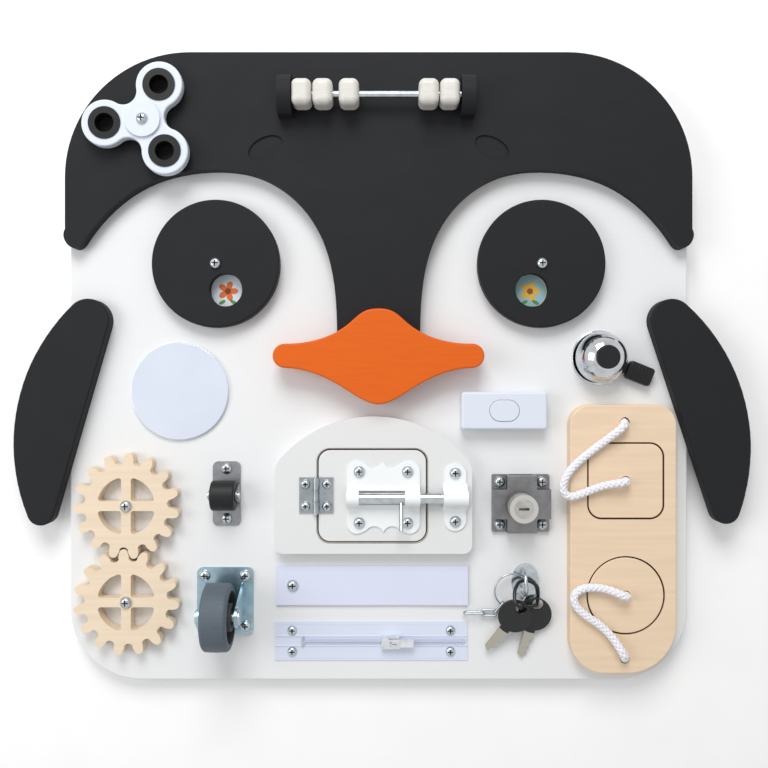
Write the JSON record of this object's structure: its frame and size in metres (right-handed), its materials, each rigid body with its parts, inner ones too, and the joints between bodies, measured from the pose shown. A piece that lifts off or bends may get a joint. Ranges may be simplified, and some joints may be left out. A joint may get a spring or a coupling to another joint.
{
  "type": "wooden busy board",
  "caption": "Penguin-shaped wooden activity board for toddlers with turning discs, gears, beads, latch door, bell, lock, keys, ropes, strap and zipper.",
  "frame": {"origin": "middle of the base board's back face", "axes": "+X to the figure's right as seen from the front, +Y towards the top of the figure, +Z out of the front face"},
  "size_m": [0.5085, 0.4356, 0.062],
  "materials": {
    "base_paint": "satin paint",
    "black_paint": "satin paint",
    "beak_paint": "satin paint",
    "screw_steel": "zinc plated",
    "print_paper": "printed paper",
    "nylon": "matte",
    "mirror": "polished",
    "black_plastic": "gloss",
    "rod_steel": "polished",
    "pale_wood": "plain",
    "white_plastic": "gloss",
    "bead_wood": "lacquered",
    "grey_bracket": "nickel plated",
    "white_enamel": "gloss",
    "black_wire": "black plated",
    "tread_rubber": "matte",
    "bracket_zinc": "zinc plated",
    "roller_rubber": "matte",
    "door_paint": "satin paint",
    "bell_chrome": "polished",
    "lever_plastic": "gloss",
    "switch_plastic": "gloss",
    "lock_zinc": "satin",
    "key_metal": "satin",
    "plywood": "plain",
    "rope_cotton": "twisted",
    "strap_fabric": "woven",
    "zipper_fabric": "woven",
    "zipper_metal": "polished"
  },
  "bodies": {
    "board": {"base_board": "base_paint", "hood": "black_paint", "flippers": "black_paint", "beak": "beak_paint", "rear_screws": "screw_steel", "board_screws": "screw_steel", "eye_prints": "print_paper", "pivot_washers": "nylon", "mirror": "mirror", "spinner_hub": "white_plastic", "abacus_posts": "black_paint", "abacus_rod": "rod_steel", "roller_bracket": "grey_bracket", "caster_bracket": "bracket_zinc", "axles": "screw_steel", "door_frame": "door_paint", "hinge_leaf_fixed": "bracket_zinc", "bolt_keeper": "white_enamel", "bell_base": "bell_chrome", "bell_dome": "bell_chrome", "bell_cap": "black_plastic", "switch_housing": "switch_plastic", "lock_body": "lock_zinc", "key_eye_plate": "bracket_zinc", "rope_panel": "plywood", "strap_base": "strap_fabric", "zipper_tapes": "zipper_fabric", "switch_spring": "nylon", "rope_upper": "rope_cotton", "rope_lower": "rope_cotton"},
    "eye_left": {"eye_disc_left": "black_paint"},
    "eye_right": {"eye_disc_right": "black_paint"},
    "spinner": {"spinner_body": "white_plastic", "spinner_weights": "black_plastic"},
    "bead_a": {"bead_1": "bead_wood"},
    "bead_b": {"bead_2": "bead_wood"},
    "bead_c": {"bead_3": "bead_wood"},
    "bead_d": {"bead_4": "bead_wood"},
    "bead_e": {"bead_5": "bead_wood"},
    "upper_gear": {"gear_top": "pale_wood"},
    "lower_gear": {"gear_bottom": "pale_wood"},
    "roller_body": {"roller": "roller_rubber"},
    "caster": {"caster_wheel": "tread_rubber"},
    "door": {"door_leaf": "door_paint", "hinge_leaf_moving": "bracket_zinc", "bolt_plate": "white_enamel", "door_screws": "screw_steel"},
    "bolt": {"bolt_rod": "rod_steel"},
    "lever": {"bell_lever": "lever_plastic"},
    "button": {"switch_button": "switch_plastic"},
    "plug": {"lock_plug": "lock_zinc"},
    "tongue": {"lock_tongue": "lock_zinc"},
    "bunch": {"key_rings": "black_wire"},
    "first_key": {"key_a": "key_metal"},
    "second_key": {"key_b": "key_metal"},
    "square": {"square_piece": "plywood"},
    "round": {"circle_piece": "plywood"},
    "flap": {"strap_flap": "strap_fabric"},
    "slider": {"zipper_slider": "zipper_metal"},
    "pull": {"zipper_pull": "zipper_metal"}
  },
  "joints": [
    {"name": "eye_left_spin", "type": "hinge", "parent": "board", "child": "eye_left", "pos_m": [-0.1125, 0.0725, 0.022], "axis": [0, 0, 1], "continuous": true},
    {"name": "eye_right_spin", "type": "hinge", "parent": "board", "child": "eye_right", "pos_m": [0.1125, 0.0725, 0.022], "axis": [0, 0, 1], "continuous": true},
    {"name": "spinner_spin", "type": "hinge", "parent": "board", "child": "spinner", "pos_m": [-0.1596, 0.1684, 0.0287], "axis": [0, 0, 1], "continuous": true},
    {"name": "bead_c_slide", "type": "slide", "parent": "board", "child": "bead_c", "axis": [1, 0, 0], "range_m": [0, 0.019]},
    {"name": "bead_b_slide", "type": "slide", "parent": "board", "child": "bead_b", "axis": [1, 0, 0], "range_m": [0, 0.0095]},
    {"name": "bead_a_slide", "type": "slide", "parent": "board", "child": "bead_a", "axis": [1, 0, 0], "range_m": [0, 0.00475]},
    {"name": "bead_d_slide", "type": "slide", "parent": "board", "child": "bead_d", "axis": [1, 0, 0], "range_m": [-0.019, 0]},
    {"name": "bead_e_slide", "type": "slide", "parent": "board", "child": "bead_e", "axis": [1, 0, 0], "range_m": [-0.0095, 0]},
    {"name": "upper_gear_spin", "type": "hinge", "parent": "board", "child": "upper_gear", "pos_m": [-0.174, -0.0948, 0.017], "axis": [0, 0, 1], "continuous": true},
    {"name": "lower_gear_spin", "type": "hinge", "parent": "board", "child": "lower_gear", "pos_m": [-0.174, -0.1611, 0.017], "axis": [0, 0, 1], "continuous": true},
    {"name": "roller_spin", "type": "hinge", "parent": "board", "child": "roller_body", "pos_m": [-0.1063, -0.0872, 0.024], "axis": [1, 0, 0], "continuous": true},
    {"name": "caster_spin", "type": "hinge", "parent": "board", "child": "caster", "pos_m": [-0.1072, -0.1664, 0.0395], "axis": [1, 0, 0], "continuous": true},
    {"name": "door_swing", "type": "hinge", "parent": "board", "child": "door", "pos_m": [-0.0429, -0.0872, 0.0242], "axis": [0, -1, 0], "range_deg": [0, 110]},
    {"name": "bolt_slide", "type": "slide", "parent": "door", "child": "bolt", "axis": [-1, 0, 0], "range_m": [0, 0.022]},
    {"name": "lever_swing", "type": "hinge", "parent": "board", "child": "lever", "pos_m": [0.1642, 0.00348, 0.016], "axis": [0, 0, 1], "range_deg": [0, 25], "stiffness_Nm_per_rad": 0.02},
    {"name": "button_press", "type": "slide", "parent": "board", "child": "button", "axis": [0, 0, -1], "range_m": [0, 0.002], "stiffness_N_per_m": 200, "deforming": ["switch_spring"]},
    {"name": "plug_turn", "type": "hinge", "parent": "board", "child": "plug", "pos_m": [0.0966, -0.0936, 0.03], "axis": [0, 0, 1], "range_deg": [0, 90]},
    {"name": "tongue_slide", "type": "slide", "parent": "board", "child": "tongue", "axis": [0, 1, 0], "range_m": [0, 0.007]},
    {"name": "bunch_lift", "type": "hinge", "parent": "board", "child": "bunch", "pos_m": [0.101, -0.1467, 0.019], "axis": [-1, 0, 0], "range_deg": [0, 75]},
    {"name": "first_key_swing", "type": "hinge", "parent": "bunch", "child": "first_key", "pos_m": [0.09775, -0.16425, 0.02457], "axis": [-0.1204, -0.1695, 0.9781], "range_deg": [-8, 8]},
    {"name": "second_key_swing", "type": "hinge", "parent": "bunch", "child": "second_key", "pos_m": [0.11034, -0.16349, 0.01692], "axis": [-0.0239, -0.0838, 0.9962], "range_deg": [-8, 8]},
    {"name": "square_lift", "type": "slide", "parent": "board", "child": "square", "axis": [0, 0, 1], "range_m": [0, 0.03], "deforming": ["rope_upper"]},
    {"name": "round_lift", "type": "slide", "parent": "board", "child": "round", "axis": [0, 0, 1], "range_m": [0, 0.03], "deforming": ["rope_lower"]},
    {"name": "flap_peel", "type": "hinge", "parent": "board", "child": "flap", "pos_m": [-0.052, -0.1512, 0.014], "axis": [0, -1, 0], "range_deg": [0, 120]},
    {"name": "zipper_run", "type": "slide", "parent": "board", "child": "slider", "axis": [1, 0, 0], "range_m": [-0.053, 0.03]},
    {"name": "pull_lift", "type": "hinge", "parent": "slider", "child": "pull", "pos_m": [0.0072, -0.1903, 0.0186], "axis": [0, -1, 0], "range_deg": [0, 150]}
  ],
  "couplings": [
    {"joint": "bead_b_slide", "follows": "bead_c_slide", "ratio": 0.5},
    {"joint": "bead_a_slide", "follows": "bead_c_slide", "ratio": 0.25},
    {"joint": "bead_e_slide", "follows": "bead_d_slide", "ratio": 0.5},
    {"joint": "upper_gear_spin", "follows": "lower_gear_spin", "ratio": -1},
    {"joint": "tongue_slide", "follows": "plug_turn", "m_per_rad": 0.004456}
  ]
}
